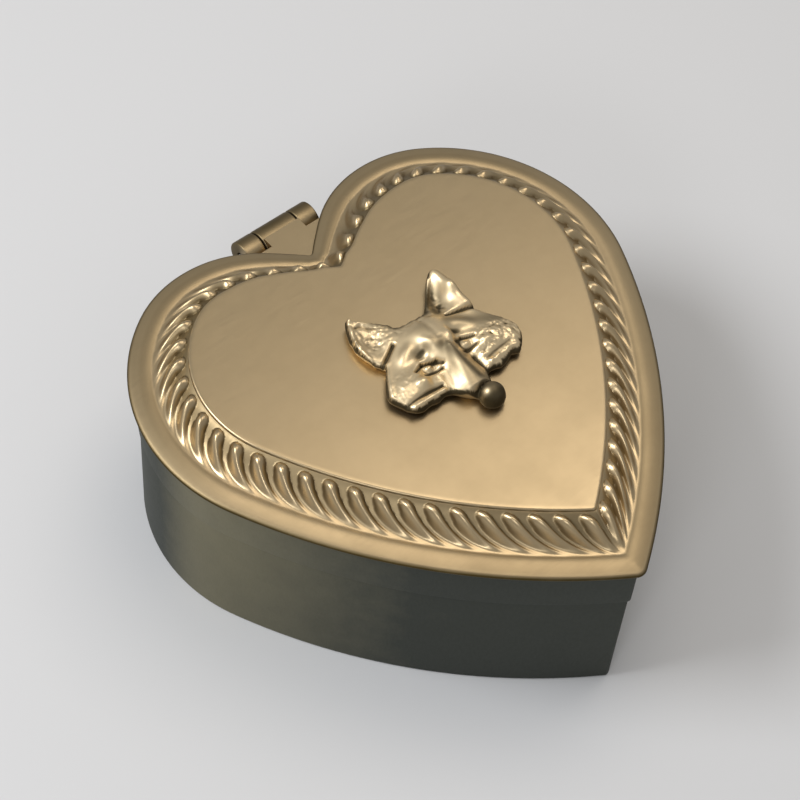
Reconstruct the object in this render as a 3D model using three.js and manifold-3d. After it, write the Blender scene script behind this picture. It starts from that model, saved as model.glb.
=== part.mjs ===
// A heart-shaped pewter keepsake box with a hinged lid, a gadrooned border and a cast fox mask.
// Millimetres, +Z up. The tip of the heart points to -Y and the hinge sits in the cleft at +Y.
// The origin is on the table, under the middle of the box's length and width.
import * as THREE from "three";
import { mergeVertices } from "three/addons/utils/BufferGeometryUtils.js";
import Module from "manifold-3d";

const wasm = await Module();
wasm.setup();

// Outline of the lid flange, seen from above: each half is a run of tangent arcs from the cleft to the tip.
// The large radii are shares of the width, so that the heart keeps its shape.
const HEART_WIDTH = 90;
const OUTLINE_SHARES = { cleftSide: 0.978, shoulder: 0.2333, flank: 0.3411, side: 1.219 };
const CLEFT_RADIUS = 0.6;
const TIP_RADIUS = 2;
const LEAST_TIP_RADIUS = 0.7;

// Where the arcs meet, in degrees from +X about the centre of each arc.
const CLEFT_SIDE_ANGLE = 129.2;
const SHOULDER_ANGLE = 58.6;
const FLANK_ANGLE = -23.8;

// Body.
const BODY_HEIGHT = 24.2;
const WALL = 1.8;
const BODY_STEP = 0.4;
const FELT_THICKNESS = 1;
const BASE_THICKNESS = 1.6;
const FLOOR_LINING_THICKNESS = 1.8;
const WALL_LINING_THICKNESS = 1;
const BEZEL_THICKNESS = 0.8;
const BEZEL_HEIGHT = 7;
const BEZEL_RISE = 2;
const BEZEL_ANGLE = -4;

// Lid.
const SEAM = 0.2;
const SKIRT_HEIGHT = 8.9;
const FLANGE_THICKNESS = 1.1;
const FLANGE_OVERHANG = 1.2;
const FLANGE_WIDTH = 4;
const FLANGE_ROUND = 0.4;
const BORDER_WIDTH = 9.9;
const BORDER_WIDENING = 22;
const CLEFT_POINT = 2.4;
const PANEL_RISE = 4;
const PANEL_THICKNESS = 1.2;
const LID_LINING_THICKNESS = 1.5;

// Gadroons of the border.
const GADROONS_A_SIDE = 29;
const GADROON_RELIEF = 0.55;
const GADROON_SWEEP = 6;
const GADROON_FADE = 9;
const BORDER_GROOVE = 0.5;

// Hinge.
const BARREL_RADIUS = 2.9;
const BARREL_LENGTH = 15.2;
const LID_KNUCKLE_LENGTH = 7.4;
const PIN_RADIUS = 0.8;
const HINGE_SETBACK = 0.4;
const BARREL_DROP = 0.5;
const LID_BEARER_THICKNESS = 2.4;
const BODY_BEARER_DEPTH = 14;
const BEARER_BEHIND_AXIS = 1.5;
const TONGUE_BEFORE_AXIS = 1.2;

// Fox mask.
const MASK_SIZE = 26;
const MASK_RELIEF = 6;
const MASK_FORWARD = 12.5;
const MASK_ASIDE = 0.7;
const MASK_TURN = -3;
const NOSE_RADIUS = 2.1;
const STUD_RADIUS = 1;
const STUD_SPACING = 9;
const STUD_END = 0.9;

// Clearances.
const FIT = 0.25;
const SKIRT_CLEARANCE = 0.4;
const RUNNING_FIT = 0.2;
const KNUCKLE_GAP = 0.3;
const CUT_OVERRUN = 1;

// Heights and offsets that follow from the sizes above.
// An offset is measured from the flange edge, and is negative inwards.
const baseBottom = FELT_THICKNESS;
const baseTop = baseBottom + BASE_THICKNESS;
const skirtBottom = BODY_HEIGHT + SEAM;
const flangeBottom = skirtBottom + SKIRT_HEIGHT;
const flangeTop = flangeBottom + FLANGE_THICKNESS;
const panelTop = flangeTop + PANEL_RISE;
const skirtOuter = -FLANGE_OVERHANG;
const skirtInner = skirtOuter - WALL;
const wallOuter = skirtOuter - BODY_STEP;
const wallInner = wallOuter - WALL;
const bezelOuter = wallInner - FIT;
const wallLiningInner = bezelOuter - WALL_LINING_THICKNESS;
const bezelBottom = BODY_HEIGHT + BEZEL_RISE - BEZEL_HEIGHT;
const wallLiningHeight = bezelBottom - FIT - baseTop;

const radians = THREE.MathUtils.degToRad;
const polar = (radius, angle) => new THREE.Vector2(radius * Math.cos(angle), radius * Math.sin(angle));

// Centres of the outline's arcs. Each arc is tangent to the next.
const cleftSideAngle = radians(CLEFT_SIDE_ANGLE);
const shoulderAngle = radians(SHOULDER_ANGLE);
const flankAngle = radians(FLANK_ANGLE);
const cleftSideRadius = OUTLINE_SHARES.cleftSide * HEART_WIDTH;
const shoulderRadius = OUTLINE_SHARES.shoulder * HEART_WIDTH;
const flankRadius = OUTLINE_SHARES.flank * HEART_WIDTH;
const sideRadius = OUTLINE_SHARES.side * HEART_WIDTH;
const flankCentre = new THREE.Vector2(HEART_WIDTH / 2 - flankRadius, 0);
const shoulderCentre = flankCentre.clone().add(polar(flankRadius - shoulderRadius, shoulderAngle));
const cleftSideCentre = shoulderCentre
  .clone()
  .sub(polar(cleftSideRadius - shoulderRadius, cleftSideAngle));
const sideCentre = flankCentre.clone().sub(polar(sideRadius - flankRadius, flankAngle));
const cleftReach = cleftSideRadius + CLEFT_RADIUS;
const cleftCentre = new THREE.Vector2(
  0,
  cleftSideCentre.y + Math.sqrt(cleftReach ** 2 - cleftSideCentre.x ** 2),
);
const cleftAngle = Math.atan2(cleftCentre.y - cleftSideCentre.y, -cleftSideCentre.x);

// An arc about a centre, from one angle to another, and the number of straight steps that draw it.
const arc = (centre, radius, from, to, steps) => ({ centre, radius, from, to, steps });
const onArc = ({ centre, radius, from, to }, share) =>
  centre.clone().add(polar(radius, from + share * (to - from)));

// The arcs of the right half at an offset, from the cleft to the tip.
function halfArcs(offset) {
  const tipRadius = Math.max(TIP_RADIUS + offset, LEAST_TIP_RADIUS);
  const reach = sideRadius + offset - tipRadius;
  const tipCentre = new THREE.Vector2(0, sideCentre.y - Math.sqrt(reach ** 2 - sideCentre.x ** 2));
  const tipAngle = Math.atan2(tipCentre.y - sideCentre.y, -sideCentre.x);
  return [
    arc(cleftCentre, CLEFT_RADIUS - offset, -Math.PI / 2, cleftAngle - Math.PI, 2),
    arc(cleftSideCentre, cleftSideRadius + offset, cleftAngle, cleftSideAngle, 1),
    arc(shoulderCentre, shoulderRadius + offset, cleftSideAngle, shoulderAngle, 8),
    arc(flankCentre, flankRadius + offset, shoulderAngle, flankAngle, 10),
    arc(sideCentre, sideRadius + offset, flankAngle, tipAngle, 8),
    arc(tipCentre, tipRadius, tipAngle, -Math.PI / 2, 3),
  ];
}

const mirrored = (point) => new THREE.Vector2(-point.x, point.y);

// A closed outline, counterclockwise from above, from a right half whose ends lie on the axis.
function closeHalf(half) {
  const left = half.map(mirrored);
  return [...left, ...half.slice(1, -1).reverse()];
}

// Points along a run of arcs, its last end included.
function alongArcs(arcs) {
  const points = arcs.flatMap((a) => Array.from({ length: a.steps }, (_, k) => onArc(a, k / a.steps)));
  return [...points, onArc(arcs.at(-1), 1)];
}

const heartOutline = (offset) => closeHalf(alongArcs(halfArcs(offset)));

// Reach of the heart along Y.
const tipArc = halfArcs(0).at(-1);
const tipY = tipArc.centre.y - tipArc.radius;
const shoulderTopY = shoulderCentre.y + shoulderRadius;

// Hinge axis: behind the rearmost skirt, so that all of the lid in front of it rises as it opens.
const axisY = shoulderTopY + skirtOuter + HINGE_SETBACK;
const axisZ = flangeBottom - BARREL_DROP - BARREL_RADIUS;

const pewter = new THREE.MeshStandardMaterial({ color: 0xb09a72, roughness: 0.36, metalness: 1 });
const pewterSide = new THREE.MeshStandardMaterial({ color: 0x6f6c60, roughness: 0.45, metalness: 1 });
const castPewter = new THREE.MeshStandardMaterial({ color: 0xd9c29a, roughness: 0.28, metalness: 1 });
const steel = new THREE.MeshStandardMaterial({ color: 0x9a9a98, roughness: 0.3, metalness: 1 });
const velvet = new THREE.MeshStandardMaterial({ color: 0x2a2f4a, roughness: 0.95, metalness: 0 });
const felt = new THREE.MeshStandardMaterial({ color: 0x2c2c30, roughness: 1, metalness: 0 });

// A closed mesh with its shared vertices merged, as a solid that can be joined and cut.
function solidOf(geometry) {
  const bare = geometry.clone();
  bare.deleteAttribute("normal");
  bare.deleteAttribute("uv");
  const merged = mergeVertices(bare);
  return new wasm.Manifold(
    new wasm.Mesh({
      numProp: 3,
      vertProperties: new Float32Array(merged.attributes.position.array),
      triVerts: new Uint32Array(merged.index.array),
    }),
  );
}

function geometryOf(solid) {
  const mesh = solid.getMesh();
  const geometry = new THREE.BufferGeometry();
  geometry.setAttribute("position", new THREE.BufferAttribute(new Float32Array(mesh.vertProperties), 3));
  geometry.setIndex(new THREE.BufferAttribute(new Uint32Array(mesh.triVerts), 1));
  geometry.computeVertexNormals();
  return geometry;
}

// A plate of an outline, with or without a hole, that stands on its own z = 0.
function plate(outline, height, hole) {
  const shape = new THREE.Shape(outline);
  if (hole) shape.holes.push(new THREE.Path(hole));
  return new THREE.ExtrudeGeometry(shape, { depth: height, bevelEnabled: false });
}

const heartPlate = (offset, height) => plate(heartOutline(offset), height);
const heartBand = (outer, inner, height) => plate(heartOutline(outer), height, heartOutline(inner));

function addPiece(parent, name, geometry, material, x = 0, y = 0, z = 0) {
  const mesh = new THREE.Mesh(geometry, material);
  mesh.name = name;
  mesh.position.set(x, y, z);
  parent.add(mesh);
  return mesh;
}

// Locating bezel: a strip inside the wall, from one widest point round the tip to the other.
function bezelGeometry() {
  const strip = (offset) => {
    const [, , , flank, side, tip] = halfArcs(offset);
    const half = alongArcs([arc(flank.centre, flank.radius, radians(BEZEL_ANGLE), flank.to, 2), side, tip]);
    return [...half.map(mirrored), ...half.slice(0, -1).reverse()];
  };
  return plate([...strip(bezelOuter), ...strip(bezelOuter - BEZEL_THICKNESS).reverse()], BEZEL_HEIGHT);
}

// A round bar along X, about its own middle.
const BARREL_SIDES = 32;
function barAlongX(radius, length, sides = BARREL_SIDES) {
  return new THREE.CylinderGeometry(radius, radius, length, sides).rotateZ(Math.PI / 2);
}
const barrelCut = (radius, length) => solidOf(barAlongX(radius, length).translate(0, axisY, axisZ));

// A length of tube for the hinge, along X.
function knuckleGeometry(length) {
  const bore = PIN_RADIUS + RUNNING_FIT;
  const half = length / 2;
  const profile = [
    new THREE.Vector2(BARREL_RADIUS, -half),
    new THREE.Vector2(BARREL_RADIUS, half),
    new THREE.Vector2(bore, half),
    new THREE.Vector2(bore, -half),
    new THREE.Vector2(BARREL_RADIUS, -half),
  ];
  return new THREE.LatheGeometry(profile, BARREL_SIDES).rotateZ(-Math.PI / 2);
}

// The open notch behind the cleft, as wide as the hinge, kept off the heart by an offset.
// It ends at a back line and stands on its own z = 0.
function notchSolid(offset, backY, height) {
  const block = new THREE.BoxGeometry(BARREL_LENGTH, backY, height).translate(0, backY / 2, height / 2);
  const heart = heartPlate(offset, height + 2 * CUT_OVERRUN).translate(0, 0, -CUT_OVERRUN);
  return solidOf(block).subtract(solidOf(heart));
}

// The lid's bearer: a web in the cleft under the flange, with a tongue that saddles the lid's knuckle.
function lidBearerGeometry() {
  const webBack = axisY - BARREL_RADIUS - 2 * FIT;
  const web = notchSolid(skirtOuter + FIT, webBack, LID_BEARER_THICKNESS);
  const tongueEnd = axisY - TONGUE_BEFORE_AXIS;
  const tongueFront = webBack - CUT_OVERRUN;
  const tongueLength = tongueEnd - tongueFront;
  const tongue = solidOf(
    new THREE.BoxGeometry(LID_KNUCKLE_LENGTH, tongueLength, LID_BEARER_THICKNESS).translate(
      0,
      tongueFront + tongueLength / 2,
      LID_BEARER_THICKNESS / 2,
    ),
  );
  const bottom = flangeBottom - LID_BEARER_THICKNESS;
  const saddle = solidOf(
    barAlongX(BARREL_RADIUS + FIT, BARREL_LENGTH).translate(0, axisY, axisZ - bottom),
  );
  return geometryOf(web.add(tongue).subtract(saddle));
}

// The body's bearer: a block in the cleft that stands on the wall and carries the two outer knuckles.
function bodyBearerGeometry() {
  const backY = axisY + BEARER_BEHIND_AXIS;
  const bottom = axisZ - BODY_BEARER_DEPTH;
  const lowerHeight = BODY_HEIGHT - bottom;
  const upperHeight = axisZ - BODY_HEIGHT;
  const lower = notchSolid(wallOuter + FIT, backY, lowerHeight).translate(0, 0, bottom);
  const upper = notchSolid(skirtOuter + SKIRT_CLEARANCE, backY, upperHeight).translate(0, 0, BODY_HEIGHT);
  // The underside slopes up and back from the wall, like a corbel.
  const slopeLength = 2 * BODY_BEARER_DEPTH;
  const slope = new THREE.BoxGeometry(BARREL_LENGTH + 2 * CUT_OVERRUN, slopeLength, slopeLength)
    .translate(0, slopeLength / 2, -slopeLength / 2)
    .rotateX(Math.PI / 4)
    .translate(0, cleftCentre.y, bottom);
  return geometryOf(
    lower
      .add(upper)
      .subtract(solidOf(slope))
      .subtract(barrelCut(BARREL_RADIUS + FIT, BARREL_LENGTH + 2 * CUT_OVERRUN))
      .subtract(barrelCut(BARREL_RADIUS + SKIRT_CLEARANCE, LID_KNUCKLE_LENGTH + 2 * KNUCKLE_GAP)),
  );
}

// The border narrows towards the cleft, where the panel's edge comes to a point.
const CLEFT_BORDER_SHARE = 0.64;
const CLEFT_POINT_SHARE = 0.13;
function borderShare(distance) {
  const widening = THREE.MathUtils.smoothstep(distance, 0, BORDER_WIDENING);
  const point = Math.max(1 - distance / CLEFT_POINT, 0);
  return THREE.MathUtils.lerp(CLEFT_BORDER_SHARE, 1, widening) + CLEFT_POINT_SHARE * point;
}

// A point of the right half at an offset and a distance from the cleft, measured along the border's middle.
const borderMiddle = -(BORDER_WIDTH + FLANGE_WIDTH) / 2;
const arcLength = (arc) => arc.radius * Math.abs(arc.to - arc.from);
const borderLengths = halfArcs(borderMiddle).map(arcLength);
const borderHalf = borderLengths.reduce((sum, length) => sum + length, 0);
function halfPoint(offset, distance) {
  const arcs = halfArcs(offset);
  let left = distance;
  let i = 0;
  while (left > borderLengths[i] && i < arcs.length - 1) {
    left -= borderLengths[i];
    i += 1;
  }
  return onArc(arcs[i], Math.min(left / borderLengths[i], 1));
}
const borderPoint = (offset, distance) =>
  halfPoint(0, distance).lerp(halfPoint(offset, distance), borderShare(distance));

// One ring of the lid's top: columns sweep towards the tip with the gadroons, and relief lifts their crests.
const LOBE_SHARES = [-1, 0.55, 1, 0.55];
const COLUMNS_A_SIDE = GADROONS_A_SIDE * LOBE_SHARES.length;
function borderRing(offset, z, sweepShare, relief) {
  const pitch = borderHalf / COLUMNS_A_SIDE;
  const half = [];
  for (let k = 0; k <= COLUMNS_A_SIDE; k += 1) {
    const distance = k * pitch;
    const fade = Math.min(1, distance / GADROON_FADE, (borderHalf - distance) / GADROON_FADE);
    const swept = distance + sweepShare * GADROON_SWEEP * fade;
    const point = borderPoint(offset, Math.min(swept, borderHalf));
    const lobe = LOBE_SHARES[k % LOBE_SHARES.length];
    half.push(new THREE.Vector3(point.x, point.y, z + relief * lobe));
  }
  const left = half.map((p) => new THREE.Vector3(-p.x, p.y, p.z));
  return [...left, ...half.slice(1, -1).reverse()];
}

// A closed mesh from rings with as many points each: the first and last rings are capped.
function loftGeometry(rings) {
  const count = rings[0].length;
  const position = rings.flat().flatMap((p) => [p.x, p.y, p.z]);
  const index = [];
  const cap = (ring, first, facesUp) => {
    const flat = ring.map((p) => new THREE.Vector2(p.x, p.y));
    THREE.ShapeUtils.triangulateShape(flat, []).forEach(([a, b, c]) =>
      index.push(first + a, first + (facesUp ? b : c), first + (facesUp ? c : b)),
    );
  };
  cap(rings[0], 0, true);
  for (let i = 0; i + 1 < rings.length; i += 1) {
    for (let j = 0; j < count; j += 1) {
      const next = (j + 1) % count;
      const [a, b, c, d] = [i * count + j, (i + 1) * count + j, (i + 1) * count + next, i * count + next];
      index.push(a, b, c, a, c, d);
    }
  }
  cap(rings.at(-1), (rings.length - 1) * count, false);
  const geometry = new THREE.BufferGeometry();
  geometry.setAttribute("position", new THREE.Float32BufferAttribute(position, 3));
  geometry.setIndex(index);
  geometry.computeVertexNormals();
  return geometry;
}

// Rings of the border from the panel edge out to the flange: how far across, and their share of the relief.
const BORDER_RING_SHARES = [
  { across: 0.07, relief: 0 },
  { across: 0.2, relief: 1 },
  { across: 0.4, relief: 1 },
  { across: 0.6, relief: 0.9 },
  { across: 0.78, relief: 0.6 },
  { across: 0.91, relief: 0.25 },
  { across: 1, relief: 0 },
];
const SWEEP_POWER = 2.4;

// The lid's top: flat panel, gadrooned shoulder and flange with a rounded edge, hollow below.
function lidTopGeometry() {
  const borderSpan = BORDER_WIDTH - FLANGE_WIDTH;
  const rings = [borderRing(-BORDER_WIDTH, panelTop, 0, 0)];
  BORDER_RING_SHARES.forEach(({ across, relief }) => {
    const rise = ((PANEL_RISE - BORDER_GROOVE) * (1 + Math.cos(across * Math.PI))) / 2;
    rings.push(
      borderRing(
        -BORDER_WIDTH + across * borderSpan,
        flangeTop + rise,
        across ** SWEEP_POWER,
        relief * GADROON_RELIEF,
      ),
    );
  });
  rings.push(borderRing(-FLANGE_ROUND, flangeTop, 1, 0));
  rings.push(borderRing(0, flangeTop - FLANGE_ROUND, 1, 0));
  rings.push(borderRing(0, flangeBottom, 1, 0));
  rings.push(borderRing(-FLANGE_WIDTH - PANEL_THICKNESS, flangeBottom, 1, 0));
  const panelBottom = panelTop - PANEL_THICKNESS;
  rings.push(borderRing(-BORDER_WIDTH - PANEL_THICKNESS / 2, panelBottom, 0, 0));
  return loftGeometry(rings);
}

// Outline of the mask, as shares of its size: from the brow round the right ear, cheek and muzzle to the left ear.
const MASK_OUTLINE_SHARES = [
  [-0.025, 0.275], [0.07, 0.275], [0.125, 0.325], [0.18, 0.39], [0.245, 0.475], [0.31, 0.52],
  [0.36, 0.485], [0.375, 0.4], [0.365, 0.29], [0.375, 0.19], [0.375, 0.125], [0.42, 0.05],
  [0.475, -0.025], [0.5, -0.09], [0.495, -0.16], [0.46, -0.225], [0.395, -0.28], [0.34, -0.27],
  [0.285, -0.29], [0.225, -0.31], [0.17, -0.29], [0.13, -0.295], [0.11, -0.34], [0.09, -0.38],
  [0.105, -0.42], [0.115, -0.46], [0.1, -0.51], [0.065, -0.535], [0.025, -0.54], [-0.015, -0.53],
  [-0.045, -0.5], [-0.055, -0.46], [-0.05, -0.42], [-0.085, -0.39], [-0.125, -0.35], [-0.155, -0.31],
  [-0.205, -0.29], [-0.26, -0.305], [-0.315, -0.295], [-0.375, -0.305], [-0.435, -0.28], [-0.47, -0.225],
  [-0.51, -0.13], [-0.485, -0.07], [-0.425, 0.01], [-0.375, 0.085], [-0.41, 0.14], [-0.43, 0.21],
  [-0.44, 0.29], [-0.425, 0.38], [-0.39, 0.46], [-0.355, 0.51], [-0.3, 0.465], [-0.235, 0.4],
  [-0.175, 0.34], [-0.125, 0.29],
];
const MASK_OUTLINE_STEPS = 3 * MASK_OUTLINE_SHARES.length;

// Forms of the mask on a slab: places and half sizes as shares of its size, heights as shares of its relief.
const MASK_SLAB_SHARE = 0.44;
const MASK_FORM_SHARES = [
  { form: "forehead", at: [-0.02, 0.115], half: [0.17, 0.14], turn: 0, rise: 0.34 },
  { form: "muzzle", at: [-0.015, -0.13], half: [0.055, 0.2], turn: 0, rise: 0.38 },
  { form: "bridge", at: [-0.015, -0.05], half: [0.08, 0.115], turn: 0, rise: 0.15 },
  { form: "left cheek", at: [-0.31, -0.13], half: [0.14, 0.1], turn: 20, rise: 0.15 },
  { form: "right cheek", at: [0.29, -0.115], half: [0.145, 0.1], turn: -18, rise: 0.15 },
  { form: "left brow", at: [-0.09, 0.02], half: [0.03, 0.06], turn: 12, rise: 0.08 },
  { form: "right brow", at: [0.06, 0.01], half: [0.03, 0.06], turn: -12, rise: 0.13 },
  { form: "left eye hollow", at: [-0.17, -0.09], half: [0.065, 0.042], turn: 8, rise: -0.17 },
  { form: "right eye hollow", at: [0.13, -0.077], half: [0.065, 0.042], turn: -8, rise: -0.15 },
  { form: "left ear hollow", at: [-0.33, 0.28], half: [0.06, 0.125], turn: -8, rise: -0.16 },
  { form: "right ear hollow", at: [0.23, 0.31], half: [0.042, 0.11], turn: -25, rise: -0.17 },
  { form: "right ear ridge", at: [0.31, 0.33], half: [0.03, 0.16], turn: 0, rise: 0.2 },
];
const NOSE_SHARES = { at: [0.03, -0.46] };
const MASK_SPAN_SHARE = 1.12;
const MASK_GRID = 40;
const NOSE_SEGMENTS = 20;

// Height of the mask above the panel, as a share of its relief, at a place given as shares of its size.
function maskHeightShare(x, y) {
  return MASK_FORM_SHARES.reduce((height, { at, half, turn, rise }) => {
    const from = new THREE.Vector2(x - at[0], y - at[1]).rotateAround(new THREE.Vector2(), -radians(turn));
    return height + rise * Math.exp(-((from.x / half[0]) ** 2) - (from.y / half[1]) ** 2);
  }, MASK_SLAB_SHARE);
}

// The mask: a block with its forms on top and a ball for the nose, trimmed to the outline.
function maskGeometry() {
  const block = new THREE.BoxGeometry(1, 1, 1, MASK_GRID, MASK_GRID, 1);
  const places = block.attributes.position;
  for (let i = 0; i < places.count; i += 1) {
    const x = places.getX(i) * MASK_SPAN_SHARE;
    const y = places.getY(i) * MASK_SPAN_SHARE;
    const z = places.getZ(i) > 0 ? maskHeightShare(x, y) * MASK_RELIEF : -CUT_OVERRUN;
    places.setXYZ(i, x * MASK_SIZE, y * MASK_SIZE, z);
  }
  const [noseX, noseY] = NOSE_SHARES.at;
  const nose = new THREE.SphereGeometry(NOSE_RADIUS, NOSE_SEGMENTS, NOSE_SEGMENTS / 2)
    .rotateX(Math.PI / 2)
    .translate(noseX * MASK_SIZE, noseY * MASK_SIZE, NOSE_RADIUS);
  const control = MASK_OUTLINE_SHARES.map(([x, y]) => new THREE.Vector3(x * MASK_SIZE, y * MASK_SIZE));
  const outline = new THREE.CatmullRomCurve3(control, true).getPoints(MASK_OUTLINE_STEPS).slice(0, -1);
  const trim = plate(outline.reverse(), 2 * MASK_RELIEF);
  return geometryOf(solidOf(block).add(solidOf(nose)).intersect(solidOf(trim)));
}

// Pegs of the mask go through holes in the panel and end in the hollow above the lining.
const studLength = PANEL_THICKNESS + STUD_END;
const STUD_SIDES = 16;
function panelWithHoles() {
  const maskTurn = radians(MASK_TURN);
  return [-1, 1].reduce((panel, side) => {
    const reach = (side * STUD_SPACING) / 2;
    const hole = new THREE.CylinderGeometry(
      STUD_RADIUS + FIT,
      STUD_RADIUS + FIT,
      2 * (PANEL_THICKNESS + CUT_OVERRUN),
      STUD_SIDES,
    )
      .rotateX(Math.PI / 2)
      .translate(
        MASK_ASIDE + reach * Math.cos(maskTurn),
        -MASK_FORWARD + reach * Math.sin(maskTurn),
        panelTop,
      );
    return panel.subtract(solidOf(hole));
  }, solidOf(lidTopGeometry()));
}

const box = new THREE.Group();
box.name = "heart_box";
box.position.y = -(tipY + axisY + BARREL_RADIUS) / 2;

const body = new THREE.Group();
body.name = "body_pieces";
box.add(body);
addPiece(body, "body_wall", heartBand(wallOuter, wallInner, BODY_HEIGHT), pewterSide);
addPiece(body, "base_felt", heartPlate(wallInner - FIT, FELT_THICKNESS), felt);
addPiece(body, "base_plate", heartPlate(wallInner - FIT, BASE_THICKNESS), pewterSide, 0, 0, baseBottom);
addPiece(
  body,
  "floor_lining",
  heartPlate(wallLiningInner - FIT, FLOOR_LINING_THICKNESS),
  velvet,
  0,
  0,
  baseTop,
);
addPiece(
  body,
  "wall_lining",
  heartBand(bezelOuter, wallLiningInner, wallLiningHeight),
  velvet,
  0,
  0,
  baseTop,
);
addPiece(body, "locating_bezel", bezelGeometry(), pewter, 0, 0, bezelBottom);
addPiece(body, "body_bearer", bodyBearerGeometry(), pewterSide);

const hinge = new THREE.Group();
hinge.name = "hinge_axis";
hinge.position.set(0, axisY, axisZ);
box.add(hinge);
const outerKnuckleLength = (BARREL_LENGTH - LID_KNUCKLE_LENGTH) / 2 - KNUCKLE_GAP;
const outerKnuckleX = (BARREL_LENGTH - outerKnuckleLength) / 2;
addPiece(hinge, "body_knuckle_left", knuckleGeometry(outerKnuckleLength), pewter, -outerKnuckleX);
addPiece(hinge, "body_knuckle_right", knuckleGeometry(outerKnuckleLength), pewter, outerKnuckleX);
addPiece(hinge, "lid_knuckle", knuckleGeometry(LID_KNUCKLE_LENGTH), pewter);
addPiece(hinge, "hinge_pin", barAlongX(PIN_RADIUS, BARREL_LENGTH), steel);

const lid = new THREE.Group();
lid.name = "lid_pieces";
box.add(lid);
addPiece(lid, "lid_top", geometryOf(panelWithHoles()), pewter);
addPiece(lid, "lid_skirt", heartBand(skirtOuter, skirtInner, SKIRT_HEIGHT), pewterSide, 0, 0, skirtBottom);
addPiece(
  lid,
  "lid_lining",
  heartPlate(skirtInner - FIT, LID_LINING_THICKNESS),
  velvet,
  0,
  0,
  flangeBottom - LID_LINING_THICKNESS,
);
addPiece(lid, "lid_bearer", lidBearerGeometry(), pewter, 0, 0, flangeBottom - LID_BEARER_THICKNESS);

const mask = new THREE.Group();
mask.name = "mask_seat";
mask.position.set(MASK_ASIDE, -MASK_FORWARD, panelTop);
mask.rotation.z = radians(MASK_TURN);
lid.add(mask);
addPiece(mask, "fox_mask", maskGeometry(), castPewter);
["left", "right"].forEach((side, i) => {
  const stud = new THREE.CylinderGeometry(STUD_RADIUS, STUD_RADIUS, studLength, STUD_SIDES);
  const x = ((2 * i - 1) * STUD_SPACING) / 2;
  addPiece(mask, "mask_stud_" + side, stud.rotateX(Math.PI / 2), castPewter, x, 0, -studLength / 2);
});

export default box;
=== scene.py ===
import math

import bmesh
import bpy
import numpy as np
from mathutils import Euler, Matrix, Vector
from mathutils.geometry import delaunay_2d_cdt


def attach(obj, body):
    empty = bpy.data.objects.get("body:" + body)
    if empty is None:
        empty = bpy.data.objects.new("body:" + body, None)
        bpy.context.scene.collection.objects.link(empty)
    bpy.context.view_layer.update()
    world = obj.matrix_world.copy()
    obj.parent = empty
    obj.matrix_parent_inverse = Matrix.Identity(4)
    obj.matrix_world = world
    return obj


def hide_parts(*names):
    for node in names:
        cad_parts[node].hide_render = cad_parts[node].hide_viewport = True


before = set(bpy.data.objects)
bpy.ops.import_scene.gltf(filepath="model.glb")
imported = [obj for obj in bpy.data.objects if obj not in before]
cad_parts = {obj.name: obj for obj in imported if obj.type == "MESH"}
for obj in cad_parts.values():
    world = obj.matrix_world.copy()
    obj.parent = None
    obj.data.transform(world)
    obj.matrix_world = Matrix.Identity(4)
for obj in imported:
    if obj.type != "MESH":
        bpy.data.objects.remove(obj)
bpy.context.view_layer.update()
mm = 0.001
print("frame loaded")

# the heart seen from above, in mm: each half is a run of tangent arcs
# offsets count from the edge of the flange, and are negative inwards
heart = {
    "width": 90.0,
    "cleftSide": 0.978,
    "shoulder": 0.2333,
    "flank": 0.3411,
    "side": 1.219,
    "cleftRadius": 0.6,
    "tipRadius": 2.0,
    "leastTip": 0.7,
    "cleftSideAngle": 129.2,
    "shoulderAngle": 58.6,
    "flankAngle": -23.8,
    "shiftY": 14.75,
    "middle": -6.6,  # offset of the middle of the border, along which distances are measured
    "columns": (6, 18, 34, 46, 60, 9),  # steps along each arc, from the cleft to the tip
}


def polar(radius, angle):
    return np.stack([radius * np.cos(angle), radius * np.sin(angle)], -1)


def heartCentres():
    h = heart
    names = ("cleftSide", "shoulder", "flank", "side")
    cleftSide, shoulder, flank, side = [h["width"] * h[name] for name in names]
    a, b, c = [math.radians(h[name + "Angle"]) for name in names[:3]]
    flankCentre = np.array([h["width"] / 2 - flank, 0.0])
    shoulderCentre = flankCentre + polar(flank - shoulder, b)
    cleftSideCentre = shoulderCentre - polar(cleftSide - shoulder, a)
    sideCentre = flankCentre - polar(side - flank, c)
    reach = cleftSide + h["cleftRadius"]
    cleftCentre = np.array([0.0, cleftSideCentre[1] + math.sqrt(reach**2 - cleftSideCentre[0] ** 2)])
    cleftAngle = math.atan2(cleftCentre[1] - cleftSideCentre[1], -cleftSideCentre[0])
    return {
        "cleft": (cleftCentre, h["cleftRadius"], -math.pi / 2, cleftAngle - math.pi),
        "cleftSide": (cleftSideCentre, cleftSide, cleftAngle, a),
        "shoulder": (shoulderCentre, shoulder, a, b),
        "flank": (flankCentre, flank, b, c),
        "side": (sideCentre, side, c, None),
    }


centres = heartCentres()


def halfArcs(offset):
    # the arcs of the right half at an offset, from the cleft to the tip
    arcs = []
    for name in ("cleft", "cleftSide", "shoulder", "flank"):
        centre, radius, start, end = centres[name]
        arcs.append((centre, radius - offset if name == "cleft" else radius + offset, start, end))
    centre, radius, start, _ = centres["side"]
    tipRadius = max(heart["tipRadius"] + offset, heart["leastTip"])
    reach = radius + offset - tipRadius
    tipCentre = np.array([0.0, centre[1] - math.sqrt(reach**2 - centre[0] ** 2)])
    tipAngle = math.atan2(tipCentre[1] - centre[1], -centre[0])
    arcs.append((centre, radius + offset, start, tipAngle))
    arcs.append((tipCentre, tipRadius, tipAngle, -math.pi / 2))
    return arcs


middleLengths = np.array([r * abs(e - s) for _, r, s, e in halfArcs(heart["middle"])])
middleEnds = np.cumsum(middleLengths)
halfLength = float(middleEnds[-1])


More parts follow.
